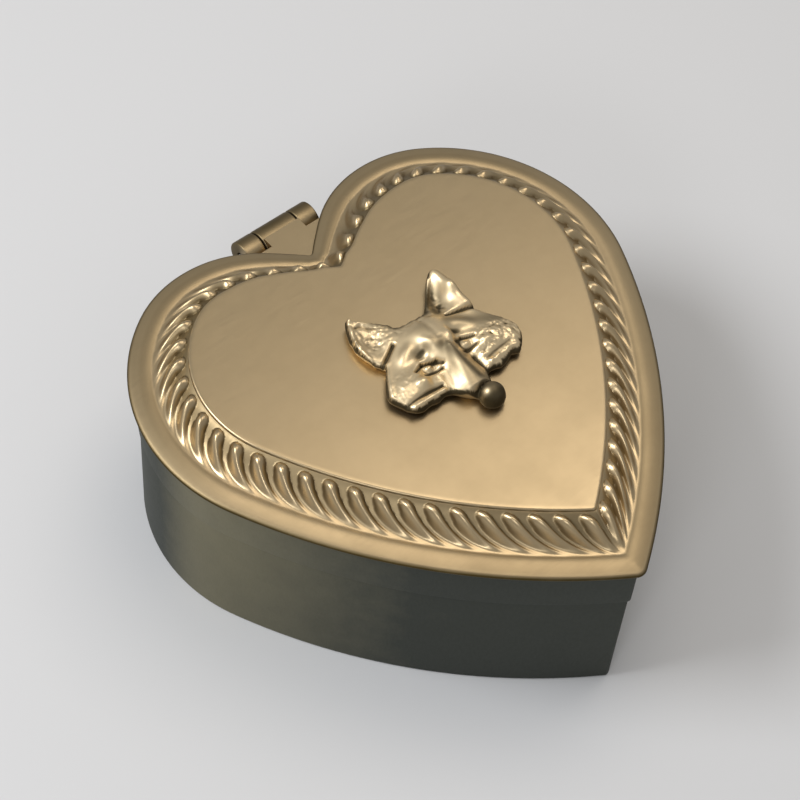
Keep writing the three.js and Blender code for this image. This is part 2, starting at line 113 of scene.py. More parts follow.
def halfPoints(offset, distance):
    # points of the right half at an offset, for distances from the cleft along the middle of the border
    arcs = halfArcs(offset)
    distance = np.clip(distance, 0, halfLength)
    which = np.minimum(np.searchsorted(middleEnds, distance, side="left"), len(arcs) - 1)
    share = (distance - (middleEnds[which] - middleLengths[which])) / middleLengths[which]
    centre = np.array([a[0] for a in arcs])[which]
    radius = np.array([a[1] for a in arcs])[which]
    start = np.array([a[2] for a in arcs])[which]
    end = np.array([a[3] for a in arcs])[which]
    angle = start + np.clip(share, 0, 1) * (end - start)
    return centre + polar(radius, angle)


def plainDistances():
    starts = np.concatenate([[0], middleEnds[:-1]])
    runs = zip(starts, middleLengths, heart["columns"])
    parts = [np.linspace(start, start + length, steps, endpoint=False) for start, length, steps in runs]
    return np.concatenate(parts + [[halfLength]])


plainColumns = plainDistances()


def closeRing(half, z):
    # a whole ring, counterclockwise from above, in metres
    z = np.broadcast_to(np.asarray(z, float), half.shape[:1])
    right = np.column_stack([half, z])
    left = right * (-1, 1, 1)
    ring = np.concatenate([left, right[1:-1][::-1]])
    return (ring + (0, heart["shiftY"], 0)) * mm


def heartRing(offset, z):
    return closeRing(halfPoints(offset, plainColumns), z)


def newMesh(name, points, faces, smoothAngle=32):
    mesh = bpy.data.meshes.new(name)
    mesh.from_pydata([tuple(p) for p in points], [], faces)
    mesh.validate()
    bm = bmesh.new()
    bm.from_mesh(mesh)
    bmesh.ops.recalc_face_normals(bm, faces=bm.faces)
    bm.to_mesh(mesh)
    bm.free()
    mesh.shade_smooth()
    mesh.set_sharp_from_angle(angle=math.radians(smoothAngle))
    piece = bpy.data.objects.new(name, mesh)
    bpy.context.scene.collection.objects.link(piece)
    return piece


capShares = (0.04, 0.2, 0.4, 0.6, 0.8, 0.93)


def capRings(ring):
    # smaller and smaller rings about the middle of the heart, to close an end with even faces
    middle = np.array([0.0, 0.0, ring[:, 2].mean()])
    return [middle + (ring - middle) * share for share in capShares]


def loft(name, rings, capped=True, smoothAngle=32):
    # skins rings of equal length; without caps the last ring joins the first
    if capped:
        rings = capRings(rings[0]) + list(rings) + capRings(rings[-1])[::-1]
    count = len(rings[0])
    points = np.concatenate(rings)
    faces = []
    last = len(rings) if not capped else len(rings) - 1
    for i in range(last):
        a, b = i * count, ((i + 1) % len(rings)) * count
        for j in range(count):
            k = (j + 1) % count
            faces.append((a + j, b + j, b + k, a + k))
    if capped:
        faces.append(tuple(range(count)))
        faces.append(tuple(range((len(rings) - 1) * count, len(rings) * count)))
    return newMesh(name, points, faces, smoothAngle)


def roundCorners(corners, radii, steps=4):
    # a closed profile with each corner turned into a short arc, over less than half of a side
    most = 0.45
    profile = []
    count = len(corners)
    for i, corner in enumerate(corners):
        here = np.array(corner, float)
        before, after = np.array(corners[i - 1], float), np.array(corners[(i + 1) % count], float)
        radius = radii[i] if hasattr(radii, "__len__") else radii
        toBefore, toAfter = before - here, after - here
        reach = min(radius, most * np.linalg.norm(toBefore), most * np.linalg.norm(toAfter))
        a = here + toBefore / np.linalg.norm(toBefore) * reach
        b = here + toAfter / np.linalg.norm(toAfter) * reach
        for t in np.linspace(0, 1, steps + 1):
            profile.append((1 - t) ** 2 * a + 2 * t * (1 - t) * here + t**2 * b)
    return profile


def heartBand(name, corners, radii):
    profile = roundCorners(corners, radii)
    return loft(name, [heartRing(offset, z) for offset, z in profile], capped=False)


def addMask(piece, name, values):
    # a per-point value that the materials read, such as how deep tarnish and painted shade lie
    attribute = piece.data.attributes.new(name, "FLOAT", "POINT")
    attribute.data.foreach_set("value", np.asarray(values, np.float32))


def smoothStep(x, low, high):
    t = np.clip((x - low) / (high - low), 0, 1)
    return t * t * (3 - 2 * t)


noiseCells = 64
noiseTable = np.random.default_rng(7).uniform(-1, 1, (noiseCells, noiseCells))


def blotches(x, y, cell):
    # smooth random values between -1 and 1, one to a cell
    u, v = x / cell + 1000, y / cell + 1000
    i, j = np.floor(u).astype(int), np.floor(v).astype(int)
    a, b = smoothStep(u - i, 0, 1), smoothStep(v - j, 0, 1)
    steps = ((0, 0), (1, 0), (0, 1), (1, 1))
    corner = [noiseTable[(i + di) % noiseCells, (j + dj) % noiseCells] for di, dj in steps]
    return (corner[0] * (1 - a) + corner[1] * a) * (1 - b) + (corner[2] * (1 - a) + corner[3] * a) * b


# finishes


def newGroup(name, inputs, outputs):
    group = bpy.data.node_groups.new(name, "ShaderNodeTree")
    for label, kind, value in inputs:
        socket = group.interface.new_socket(label, in_out="INPUT", socket_type=kind)
        socket.default_value = value
    for label, kind in outputs:
        group.interface.new_socket(label, in_out="OUTPUT", socket_type=kind)
    return group, group.nodes.new("NodeGroupInput"), group.nodes.new("NodeGroupOutput")


def addNode(tree, kind, **settings):
    node = tree.nodes.new(kind)
    for key, value in settings.items():
        setattr(node, key, value)
    return node


def mathNode(tree, operation, a, b=0.5, clamp=False):
    node = addNode(tree, "ShaderNodeMath", operation=operation, use_clamp=clamp)
    for socket, value in zip(node.inputs, (a, b)):
        if hasattr(value, "is_linked"):
            tree.links.new(value, socket)
        else:
            socket.default_value = value
    return node.outputs[0]


def noiseNode(tree, coordinates, scale, detail=3.0, rough=0.5):
    node = addNode(tree, "ShaderNodeTexNoise")
    tree.links.new(coordinates, node.inputs["Vector"])
    if hasattr(scale, "is_linked"):
        tree.links.new(scale, node.inputs["Scale"])
    else:
        node.inputs["Scale"].default_value = scale
    node.inputs["Detail"].default_value = detail
    node.inputs["Roughness"].default_value = rough
    return node.outputs["Fac"]


def stretched(tree, coordinates, scale, turn=0.0):
    node = addNode(tree, "ShaderNodeMapping")
    tree.links.new(coordinates, node.inputs["Vector"])
    node.inputs["Scale"].default_value = scale
    node.inputs["Rotation"].default_value = (0, 0, turn)
    return node.outputs["Vector"]


def spread(tree, value, low, high, outLow=0.0, outHigh=1.0):
    node = addNode(tree, "ShaderNodeMapRange")
    tree.links.new(value, node.inputs["Value"])
    names = ("From Min", "From Max", "To Min", "To Max")
    for socket, number in zip(names, (low, high, outLow, outHigh)):
        if hasattr(number, "is_linked"):
            tree.links.new(number, node.inputs[socket])
        else:
            node.inputs[socket].default_value = number
    return node.outputs["Result"]


def addShare(tree, total, value, share):
    return mathNode(tree, "ADD", total, mathNode(tree, "MULTIPLY", value, share))


def mixColours(tree, share, a, b):
    node = addNode(tree, "ShaderNodeMix", data_type="RGBA")
    for socket, value in ((node.inputs[0], share), (node.inputs[6], a), (node.inputs[7], b)):
        if hasattr(value, "is_linked"):
            tree.links.new(value, socket)
        else:
            socket.default_value = value
    return node.outputs[2]


handFinishLook = {
    "cloudScale": 55.0,
    "patchScale": 190.0,
    "grainScale": 5200.0,
    "strokes": (((220, 3000, 900), 0.5), ((260, 3600, 1100), -0.42)),  # stretch and turn
    "patchesInTarnish": 0.5,
    "tarnishFrom": 0.55,
    "tarnishTo": 1.0,
    "hollowSpread": (0.94, 1.05),
    "tarnishDulls": 0.35,
    "hollowDulls": 0.22,
    "strokesDull": 0.04,
    "grainHeight": 0.35,
    "cloudHeight": 2.5,
}


def buildHandFinish():
    # hand-finished metal: rubbing marks, cloudy tarnish and a darker tone from the tarnish and shade
    # input
    group, ins, outs = newGroup(
        "handFinish",
        [
            ("Metal", "NodeSocketColor", (0.5, 0.5, 0.5, 1)),
            ("Hollow Colour", "NodeSocketColor", (0.1, 0.1, 0.1, 1)),
            ("Tarnish And Shade", "NodeSocketFloat", 0.0),
            ("Polish", "NodeSocketFloat", 0.35),
            ("Cloud", "NodeSocketFloat", 0.15),
            ("Marks", "NodeSocketFloat", 0.5),
        ],
        [("Colour", "NodeSocketColor"), ("Roughness", "NodeSocketFloat"), ("Height", "NodeSocketFloat")],
    )
    look = handFinishLook
    place = addNode(group, "ShaderNodeTexCoord").outputs["Object"]
    clouds = noiseNode(group, place, look["cloudScale"], 4.0, 0.55)
    patches = noiseNode(group, place, look["patchScale"], 3.0, 0.6)
    grain = noiseNode(group, place, look["grainScale"], 2.0, 0.6)
    ways = [stretched(group, place, stretch, turn) for stretch, turn in look["strokes"]]
    marks = mathNode(group, "ADD", *[noiseNode(group, way, 1.0, 1.0, 0.5) for way in ways])
    tarnish = addShare(group, clouds, patches, look["patchesInTarnish"])
    tarnish = spread(group, tarnish, look["tarnishFrom"], look["tarnishTo"])
    tone = mathNode(group, "MULTIPLY", tarnish, ins.outputs["Cloud"])
    dulled = mixColours(group, tone, ins.outputs["Metal"], ins.outputs["Hollow Colour"])
    uneven = spread(group, patches, 0.3, 0.7, *look["hollowSpread"])
    # the tarnish and shade input mixes in the dark colour: real tarnish in hollows, and painted shade
    # where a mask puts it
    deep = mathNode(group, "MULTIPLY", ins.outputs["Tarnish And Shade"], uneven, clamp=True)
    colour = mixColours(group, deep, dulled, ins.outputs["Hollow Colour"])
    group.links.new(colour, outs.inputs["Colour"])
    rough = addShare(group, ins.outputs["Polish"], tone, look["tarnishDulls"])
    rough = addShare(group, rough, deep, look["hollowDulls"])
    rough = addShare(group, rough, spread(group, marks, 0.8, 1.25, -0.5, 0.5), look["strokesDull"])
    group.links.new(rough, outs.inputs["Roughness"])
    height = mathNode(group, "MULTIPLY", marks, ins.outputs["Marks"])
    height = addShare(group, height, grain, look["grainHeight"])
    height = addShare(group, height, clouds, look["cloudHeight"])
    group.links.new(height, outs.inputs["Height"])
    return group


clothPileLook = {"lieScale": 90.0, "lieFrom": 0.35, "lieTo": 0.68, "lieHeight": 0.8}


def buildClothPile():
    # short pile: streaks where it lies another way, and a fine fuzzy grain
    group, ins, outs = newGroup(
        "clothPile",
        [
            ("Dye", "NodeSocketColor", (0.1, 0.1, 0.1, 1)),
            ("Brushed", "NodeSocketColor", (0.2, 0.2, 0.2, 1)),
            ("Grain", "NodeSocketFloat", 3000.0),
        ],
        [("Colour", "NodeSocketColor"), ("Roughness", "NodeSocketFloat"), ("Height", "NodeSocketFloat")],
    )
    look = clothPileLook
    place = addNode(group, "ShaderNodeTexCoord").outputs["Object"]
    lie = noiseNode(group, place, look["lieScale"], 4.0, 0.6)
    fuzz = noiseNode(group, place, ins.outputs["Grain"], 2.0, 0.7)
    brushed = spread(group, lie, look["lieFrom"], look["lieTo"])
    share = mathNode(group, "MULTIPLY", brushed, spread(group, fuzz, 0.25, 0.75, 0.55, 1.0))
    colour = mixColours(group, share, ins.outputs["Dye"], ins.outputs["Brushed"])
    group.links.new(colour, outs.inputs["Colour"])
    group.links.new(spread(group, fuzz, 0.3, 0.7, 0.8, 0.98), outs.inputs["Roughness"])
    group.links.new(addShare(group, fuzz, lie, look["lieHeight"]), outs.inputs["Height"])
    return group


handFinish = buildHandFinish()
clothPile = buildClothPile()


def startMaterial(name):
    material = bpy.data.materials.new(name)
    material.use_nodes = True
    return material, material.node_tree, material.node_tree.nodes["Principled BSDF"]


def joinGroup(tree, shader, group, bumpDepth, bumpStrength):
    node = addNode(tree, "ShaderNodeGroup", node_tree=group)
    bump = addNode(tree, "ShaderNodeBump")
    bump.inputs["Distance"].default_value = bumpDepth
    bump.inputs["Strength"].default_value = bumpStrength
    tree.links.new(node.outputs["Colour"], shader.inputs["Base Color"])
    tree.links.new(node.outputs["Roughness"], shader.inputs["Roughness"])
    tree.links.new(node.outputs["Height"], bump.inputs["Height"])
    tree.links.new(bump.outputs["Normal"], shader.inputs["Normal"])
    return node


def metalFinish(name, finish):
    material, tree, shader = startMaterial(name)
    node = joinGroup(tree, shader, handFinish, finish["markDepth"], 0.5)
    shader.inputs["Metallic"].default_value = 1.0
    node.inputs["Metal"].default_value = (*finish["metal"], 1)
    node.inputs["Hollow Colour"].default_value = (*finish["hollow"], 1)
    node.inputs["Polish"].default_value = finish["polish"]
    node.inputs["Cloud"].default_value = finish["cloud"]
    node.inputs["Marks"].default_value = finish["marks"]
    depth = addNode(tree, "ShaderNodeAttribute", attribute_name="hollow")
    tree.links.new(depth.outputs["Fac"], node.inputs["Tarnish And Shade"])
    return material


def clothFinish(name, finish):
    material, tree, shader = startMaterial(name)
    node = joinGroup(tree, shader, clothPile, finish["pileDepth"], 0.6)
    node.inputs["Dye"].default_value = (*finish["dye"], 1)
    node.inputs["Brushed"].default_value = (*finish["brushed"], 1)
    node.inputs["Grain"].default_value = finish["grain"]
    shader.inputs["Sheen Weight"].default_value = finish["sheen"]
    shader.inputs["Sheen Roughness"].default_value = 0.45
    return material


# colours are linear; markDepth and pileDepth are in metres
finishes = {
    "pewterTop": {
        "metal": (0.52, 0.405, 0.245),
        "hollow": (0.08, 0.058, 0.022),
        "polish": 0.31,
        "cloud": 0.14,
        "marks": 0.2,
        "markDepth": 0.000012,
    },
    # the walls' pewter, given a darker metal colour as painted shade
    "pewterSide": {
        "metal": (0.315, 0.285, 0.18),
        "hollow": (0.074, 0.08, 0.07),
        "polish": 0.42,
        "cloud": 0.07,
        "marks": 0.5,
        "markDepth": 0.000012,
    },
    # the mask's pewter, given a lighter metal colour than the lid's as painted light
    "pewterCastLit": {
        "metal": (0.85, 0.685, 0.435),
        "hollow": (0.07, 0.056, 0.032),
        "polish": 0.36,
        "cloud": 0.1,
        "marks": 0.25,
        "markDepth": 0.00001,
    },
    "pinSteel": {
        "metal": (0.5, 0.5, 0.49),
        "hollow": (0.1, 0.1, 0.1),
        "polish": 0.28,
        "cloud": 0.2,
        "marks": 0.4,
        "markDepth": 0.000008,
    },
}
finishes["pewterPlate"] = {**finishes["pewterSide"], "metal": (0.17, 0.16, 0.115)}
metals = {name: metalFinish(name, finish) for name, finish in finishes.items()}

clothFinishes = {
    "blueVelvet": {
        "dye": (0.016, 0.021, 0.062),
        "brushed": (0.04, 0.052, 0.13),
        "grain": 2600.0,
        "pileDepth": 0.00022,
        "sheen": 0.6,
    },
    "darkFelt": {
        "dye": (0.02, 0.02, 0.023),
        "brushed": (0.045, 0.045, 0.05),
        "grain": 1800.0,
        "pileDepth": 0.0002,
        "sheen": 0.3,
    },
}
cloths = {name: clothFinish(name, finish) for name, finish in clothFinishes.items()}
print("finishes built")


def dress(piece, material, body, node):
    piece.data.materials.clear()
    piece.data.materials.append(material)
    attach(piece, body)
    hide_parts(node)
    return piece


# lid top: flat panel, gadrooned shoulder, rolled flange

# distances are along the middle of the border, shares go across it from the panel to the flange
lidTopShape = {
    "flangeBottom": 33.3,
    "flangeTop": 34.4,
    "panelTop": 38.4,
    "panelBottom": 37.2,
    "border": 9.9,
    "flange": 4.0,
    "groove": 0.5,
    "widening": 22.0,  # distance from the cleft over which the border grows to its full width
    "cleftShare": 0.64,
    "cleftPoint": 2.4,
    "pointShare": 0.13,
    "gadroons": 29,  # on each half
    "columnsInEach": 20,
    "tipColumns": 8,
    "rings": ((0.02, 0.4, 22), (0.43, 1.0, 20)),  # shares across the border, close at the heads
    "sweep": 6.0,
    "sweepPower": 2.4,
    "fade": 9.0,
    "crestFrom": 1.5,
    "crestLift": 0.22,
    "valleyPower": 0.74,
    "headStart": 0.45,
    "headRadius": 1.2,
    "headWidth": 0.68,
    "tailWidth": 0.86,
    "tailFrom": 0.75,
    "ridgePower": 1.9,
    "ridgeInHead": 0.35,
    # offset and drop below the panel, of its rounded edge
    "panelEdge": ((-10.7, 0), (-10.3, 0), (-10.12, 0.02), (-9.98, 0.07), (-9.89, 0.16), (-9.84, 0.28)),
    # offset and lift of the flange, in shares of its crown
    "flangeCrown": 0.17,
    "flangeLifts": ((-3.7, 0.4), (-3.3, 0.8), (-2.8, 0.85), (-2.2, 0.5), (-1.6, -0.05), (-1.0, -0.8)),
    # offset and drop below the flange, of its rolled rim
    "rim": (
        (-0.55, 0.24), (-0.27, 0.34), (-0.09, 0.47), (0, 0.62),
        (0, 0.74), (-0.05, 0.9), (-0.2, 1.04), (-0.42, 1.1),
    ),
    "underFlange": -5.2,
    "underPanel": -10.5,
}
# how deep the tarnish and painted shade lie, from 0 for clean metal to 1: tarnish deepened by painted
# shade in the valleys, painted shade on the slopes, on the flange, deeper towards the tip, along the
# panel's edge, under the rim and underneath, lighter on the right; pairs of depths hold by the heart's
# lobes and past them, and lobeEnds and tipEnds are distances from the cleft and from the tip
lidTarnishAndShade = {
    "valley": (0.74, 0.5),
    "slope": (0.4, 0.02),
    "slopeAt": 0.52,
    "slopeReach": 0.17,
    "valleyFrom": 0.3,
    "valleyTo": 0.95,
    "rightSide": 0.35,
    "lobeEnds": (35.0, 60.0),
    "flange": (0.34, 0.1),
    "flangeOutside": 0.4,
    "flangeTip": 0.38,
    "tipEnds": (25.0, 60.0),
    "panelEdge": 0.5,
    "rim": 1.0,
    "under": 0.6,
}


def borderPoints(offset, distance):
    # the border narrows towards the cleft, where the panel's edge comes to a point
    s = lidTopShape
    share = s["cleftShare"] + (1 - s["cleftShare"]) * smoothStep(distance, 0, s["widening"])
    share = share + s["pointShare"] * np.clip(1 - distance / s["cleftPoint"], 0, 1)
    edge = halfPoints(0, distance)
    return edge + (halfPoints(offset, distance) - edge) * share[:, None]


def lidColumns():
    s = lidTopShape
    columns = np.linspace(0, halfLength, s["gadroons"] * s["columnsInEach"] + 1)
    tip = np.linspace(halfLength - middleLengths[-1], halfLength, s["tipColumns"] + 1)[:-1]
    return np.unique(np.round(np.concatenate([columns, tip]), 5))


def gadroonRise(distance, place, span):
    # from 0 in the valley to 1 on the crest: a domed head, then a tail with a rounded ridge
    s = lidTopShape
    if distance <= s["headStart"]:
        return 0 * place
    headEnd = s["headStart"] + s["headRadius"]
    inHead = np.clip(1 - (distance - s["headStart"]) / s["headRadius"], 0, 1)
    inTail = smoothStep(distance, headEnd, s["tailFrom"] * span)
    u = np.abs(place) / (s["headWidth"] + (s["tailWidth"] - s["headWidth"]) * inTail)
    dome = np.sqrt(np.clip(1 - u**2 - inHead**2, 0, 1))
    if distance <= s["headStart"] + 0.5:
        return dome
    ridge = np.clip(1 - u**2, 0, 1) ** s["ridgePower"]
    return dome + (ridge - dome) * (s["ridgeInHead"] + (1 - s["ridgeInHead"]) * inTail)


def borderHeight(across, distance, rise, span):
    # the valleys fall to the flange sooner than the crests do
    s = lidTopShape
    fall = s["panelTop"] - s["flangeTop"] - s["groove"]
    late = max(distance - s["crestFrom"], 0) / (span - s["crestFrom"])
    crest = fall * 0.5 * (1 + math.cos(math.pi * late)) + s["crestLift"] * (1 - late)
    valley = fall * 0.5 * (1 + math.cos(math.pi * across ** s["valleyPower"]))
    return s["flangeTop"] + valley + (crest - valley) * rise


def buildLidTop():
    s, tarnish = lidTopShape, lidTarnishAndShade
    columns = lidColumns()
    place = 2 * ((columns * s["gadroons"] / halfLength) % 1.0) - 1
    place[-1] = -1.0
    fade = np.minimum(1, np.minimum(columns / s["fade"], (halfLength - columns) / s["fade"]))
    span = s["border"] - s["flange"]
    pastLobe = smoothStep(columns, *tarnish["lobeEnds"])
    nearTip = 1 - smoothStep(halfLength - columns, *tarnish["tipEnds"])
    # painted shade is lighter on the right side, past the lobes
    rightShare = 1 + (tarnish["rightSide"] - 1) * pastLobe[1:-1][::-1]
    valleyTarnishShade, slopeShade, flangeShade = [
        lobe + (past - lobe) * pastLobe
        for lobe, past in (tarnish["valley"], tarnish["slope"], tarnish["flange"])
    ]
    rings, hollow = [], []

    def addRing(offset, z, sweepShare, depth):
        distance = np.minimum(columns + sweepShare * s["sweep"] * fade, halfLength)
        z = np.broadcast_to(np.asarray(z, float), columns.shape)
        depth = np.broadcast_to(np.asarray(depth, float), columns.shape)
        rings.append(closeRing(borderPoints(offset, distance), z))
        onRight = 1.0 if offset > -s["flange"] else rightShare
        hollow.append(np.concatenate([depth, onRight * depth[1:-1][::-1]]))

    # painted shade along the panel's rounded edge
    for offset, drop in s["panelEdge"]:
        addRing(offset, s["panelTop"] - drop, 0.0, tarnish["panelEdge"] * smoothStep(drop, 0.15, 0.3))
    for across in np.concatenate([np.linspace(*run) for run in s["rings"]]):
        distance = across * span
        rise = gadroonRise(distance, place, span)
        inValley = smoothStep(distance, 0.0, 0.25)
        inValley = inValley * (1 - smoothStep(across, tarnish["valleyFrom"], tarnish["valleyTo"]))
        onSlope = math.exp(-(((across - tarnish["slopeAt"]) / tarnish["slopeReach"]) ** 2))
        # tarnish with painted shade in the valleys, and painted shade on the slopes
        depth = np.maximum(valleyTarnishShade * inValley * (1 - smoothStep(rise, 0.2, 0.8)), slopeShade * onSlope)
        height = borderHeight(across, distance, rise, span)
        addRing(distance - s["border"], height, across ** s["sweepPower"], depth)
    plain = tarnish["flange"][1]
    for offset, lift in s["flangeLifts"]:
        share = 1.0 if lift > 0.2 else tarnish["flangeOutside"]
        # painted shade on the flange, deeper towards the tip
        depth = plain + (flangeShade - plain) * share + (tarnish["flangeTip"] - plain) * nearTip
        addRing(offset, s["flangeTop"] + s["flangeCrown"] * lift, 1.0, depth)
    # painted shadow under the rolled rim
    for offset, drop in s["rim"]:
        addRing(offset, s["flangeTop"] - drop, 1.0, tarnish["rim"] * smoothStep(drop, 0.15, 0.45))
    # painted shade underneath the flange and the panel
    addRing(s["underFlange"], s["flangeBottom"], 1.0, tarnish["under"])
    addRing(s["underPanel"], s["panelBottom"], 0.0, tarnish["under"])
    piece = loft("lidTop", rings, smoothAngle=50)
    caps = len(capShares)
    hollow = [0 * hollow[0]] * caps + hollow + [hollow[-1]] * caps
    addMask(piece, "hollow", np.concatenate(hollow))
    return piece


dress(buildLidTop(), metals["pewterTop"], "lid", "lid_top")
print("lid top built")

# walls, bezel and linings

skirtShape = {
    "outer": -1.2,
    "inner": -3.0,
    "bottom": 24.4,
    "top": 33.3,
    "rounding": (0.05, 0.22, 0.22, 0.05),
}
bodyShape = {
    "outer": -1.6,
    "inner": -3.4,
    "bottom": 0,
    "top": 24.2,
    "rounding": (0.22, 0.5, 0.2, 0.22),
}
wallLiningShape = {
    "outer": -3.65,
    "inner": -4.65,
    "bottom": 2.6,
    "top": 18.9,
    "rounding": (0.4, 0.1, 0.1, 0.45),
}
# painted shade: the walls are bright along the flanks and darkened towards the tip and the lobes
wallShade = {
    "dull": 0.35,
    "most": 1.06,
    "tipFrom": 4.0,
    "tipTo": 45.0,
    "lobeFrom": -6.0,
    "lobeTo": 7.0,
}


def wallCorners(shape):
    # offset and height of the corners, from the outer top down and round to the inner top
    outer, inner, bottom, top = [shape[key] for key in ("outer", "inner", "bottom", "top")]
    return [(outer, top), (outer, bottom), (inner, bottom), (inner, top)]


def heartWall(name, shape):
    return heartBand(name, wallCorners(shape), shape["rounding"])


for name, shape, body, node in (
    ("lidSkirt", skirtShape, "lid", "lid_skirt"),
    ("bodyWall", bodyShape, "box_body", "body_wall"),
):
    wall = dress(heartWall(name, shape), metals["pewterSide"], body, node)
    y = np.array([v.co.y for v in wall.data.vertices]) / mm - heart["shiftY"]
    # painted shade, deeper towards the tip and the lobes
    ends = smoothStep(-y, wallShade["tipFrom"], wallShade["tipTo"])
    ends = ends + smoothStep(y, wallShade["lobeFrom"], wallShade["lobeTo"])
    addMask(wall, "hollow", wallShade["dull"] + (wallShade["most"] - wallShade["dull"]) * ends)

# the locating strip runs round the tip from where the side arc reaches its start angle
bezel = {
    "outer": -3.65,
    "inner": -4.45,
    "bottom": 19.2,
    "top": 26.2,
    "startAngle": -4.0,
    "rounding": 0.25,
    "columns": 90,
}


def buildBezel():
    _, _, start, end = halfArcs(heart["middle"])[3]
    share = (math.radians(bezel["startAngle"]) - start) / (end - start)
    first = middleEnds[2] + share * middleLengths[3]
    flank = np.linspace(first, halfLength - middleLengths[5], bezel["columns"])[:-1]
    distances = np.concatenate([flank, plainColumns[-1 - heart["columns"][5]:]])
    lines = []
    for offset, z in roundCorners(wallCorners(bezel), bezel["rounding"], 3):
        half = halfPoints(offset, distances)
        right = np.column_stack([half, np.full(len(half), z)])
        line = np.concatenate([right * (-1, 1, 1), right[:-1][::-1]])
        lines.append((line + (0, heart["shiftY"], 0)) * mm)
    sections = np.stack(lines, 1)
    count, around = sections.shape[:2]
    faces = []
    for i in range(count - 1):
        here, there = i * around, (i + 1) * around
        for j in range(around):
            k = (j + 1) % around
            faces.append((here + j, here + k, there + k, there + j))
    faces.append(tuple(range(around)))
    faces.append(tuple(range((count - 1) * around, count * around)))
    return newMesh("locatingBezel", sections.reshape(-1, 3), faces)


dress(buildBezel(), metals["pewterTop"], "box_body", "locating_bezel")

floorLiningShape = {"edge": -4.9, "bottom": 2.6, "top": 4.4}
lidLiningShape = {"edge": -3.25, "bottom": 31.8, "top": 33.3}
baseFeltShape = {"edge": -3.65, "bottom": 0.0, "top": 1.0}
# how a pad's edge rounds over: inset, and share of its thickness
padCrown = ((0, 0.0), (0, 0.35), (0.08, 0.6), (0.3, 0.82), (0.7, 0.94), (1.4, 0.985), (3.0, 1.0))


def heartPad(name, shape, crownUp=True):
    # a padded heart: flat where it is glued, crowned and rounded on the open side
    bottom, top = shape["bottom"], shape["top"]
    thick = top - bottom
    rings = []
    for inset, share in padCrown:
        z = bottom + thick * share if crownUp else top - thick * share
        rings.append(heartRing(shape["edge"] - inset, z))
    return loft(name, rings, smoothAngle=60)


wallLining = heartWall("wallLining", wallLiningShape)
floorLining = heartPad("floorLining", floorLiningShape)
lidLining = heartPad("lidLining", lidLiningShape, crownUp=False)
baseFelt = heartPad("baseFelt", baseFeltShape, crownUp=False)
dress(wallLining, cloths["blueVelvet"], "box_body", "wall_lining")
dress(floorLining, cloths["blueVelvet"], "box_body", "floor_lining")
dress(lidLining, cloths["blueVelvet"], "lid", "lid_lining")
dress(baseFelt, cloths["darkFelt"], "box_body", "base_felt")
print("walls and linings built")

# hinge

hinge = {
    "axisY": 43.23,
    "axisZ": 29.9,
    "barrel": 2.9,
    "bore": 1.0,
    "pin": 0.8,
    "length": 15.2,
    "lidKnuckle": 7.4,
    "outerFrom": 4.0,
    "edge": 0.25,
    "boreEdge": 0.08,
    # inset and share of the radius, at the rounded ends of the pin
    "pinShares": ((0, 0.025), (0, 0.55), (0.1, 0.88), (0.3, 1.0)),
    # painted shade, deep behind the barrel where it turns from the light and slight in front, and the
    # angles round the barrel where one gives way to the other
    "shadeBehind": 0.9,
    "shadeInFront": 0.25,
    "frontStarts": (55.0, 135.0),
    "frontEnds": (200.0, 260.0),
}


def turned(name, profile, sides=64):
    # a piece turned about the hinge axis, from a closed profile of (along x, radius)
    points = [
        (x, hinge["axisY"] + r * math.cos(a), hinge["axisZ"] + r * math.sin(a))
        for a in np.linspace(0, 2 * math.pi, sides, endpoint=False)
        for x, r in profile
    ]
    count = len(profile)
    faces = []
    for i in range(sides):
        here, there = i * count, ((i + 1) % sides) * count
        for j in range(count):
            k = (j + 1) % count
            faces.append((here + j, here + k, there + k, there + j))
    return newMesh(name, np.array(points) * mm, faces)


def knuckle(name, x0, x1):
    bore, barrel = hinge["bore"], hinge["barrel"]
    corners = [(x0, bore), (x0, barrel), (x1, barrel), (x1, bore)]
    rounding = (hinge["boreEdge"], hinge["edge"], hinge["edge"], hinge["boreEdge"])
    return turned(name, roundCorners(corners, rounding))


outerEnd = hinge["length"] / 2
knuckles = {
    "lidKnuckle": (-hinge["lidKnuckle"] / 2, hinge["lidKnuckle"] / 2, "lid", "lid_knuckle"),
    "leftKnuckle": (-outerEnd, -hinge["outerFrom"], "box_body", "body_knuckle_left"),
    "rightKnuckle": (hinge["outerFrom"], outerEnd, "box_body", "body_knuckle_right"),
}
for name, (x0, x1, body, node) in knuckles.items():
    barrel = dress(knuckle(name, x0, x1), metals["pewterTop"], body, node)
    y, z = np.array([v.co[1:] for v in barrel.data.vertices]).T / mm
    angle = np.degrees(np.arctan2(z - hinge["axisZ"], y - hinge["axisY"])) % 360
    front = smoothStep(angle, *hinge["frontStarts"]) * (1 - smoothStep(angle, *hinge["frontEnds"]))
    # painted shade round the barrel
    addMask(barrel, "hollow", hinge["shadeBehind"] + (hinge["shadeInFront"] - hinge["shadeBehind"]) * front)


def buildPin():
    end = [(inset - outerEnd, hinge["pin"] * share) for inset, share in hinge["pinShares"]]
    return turned("hingePin", end + [(-x, r) for x, r in reversed(end)], 40)


dress(buildPin(), metals["pinSteel"], "box_body", "hinge_pin")

# pieces that keep their CAD shape get a softened edge and their finish
keptPieces = {
    "lid_bearer": (metals["pewterTop"], 0.25),
    "body_bearer": (metals["pewterPlate"], 0.2),
    "base_plate": (metals["pewterPlate"], 0.15),
    "mask_stud_left": (metals["pewterCastLit"], 0.1),
    "mask_stud_right": (metals["pewterCastLit"], 0.1),
}
for nodeName, (material, edge) in keptPieces.items():
    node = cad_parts[nodeName]
    node.data.materials.clear()
    node.data.materials.append(material)
    bevel = node.modifiers.new("softEdge", "BEVEL")
    bevel.width = edge * mm
    bevel.segments = 3
    bevel.limit_method = "ANGLE"
    bevel.angle_limit = math.radians(40)
    bevel.use_clamp_overlap = True
print("hinge built")

# fox mask: a casting in relief, drawn from above in mm about its own middle

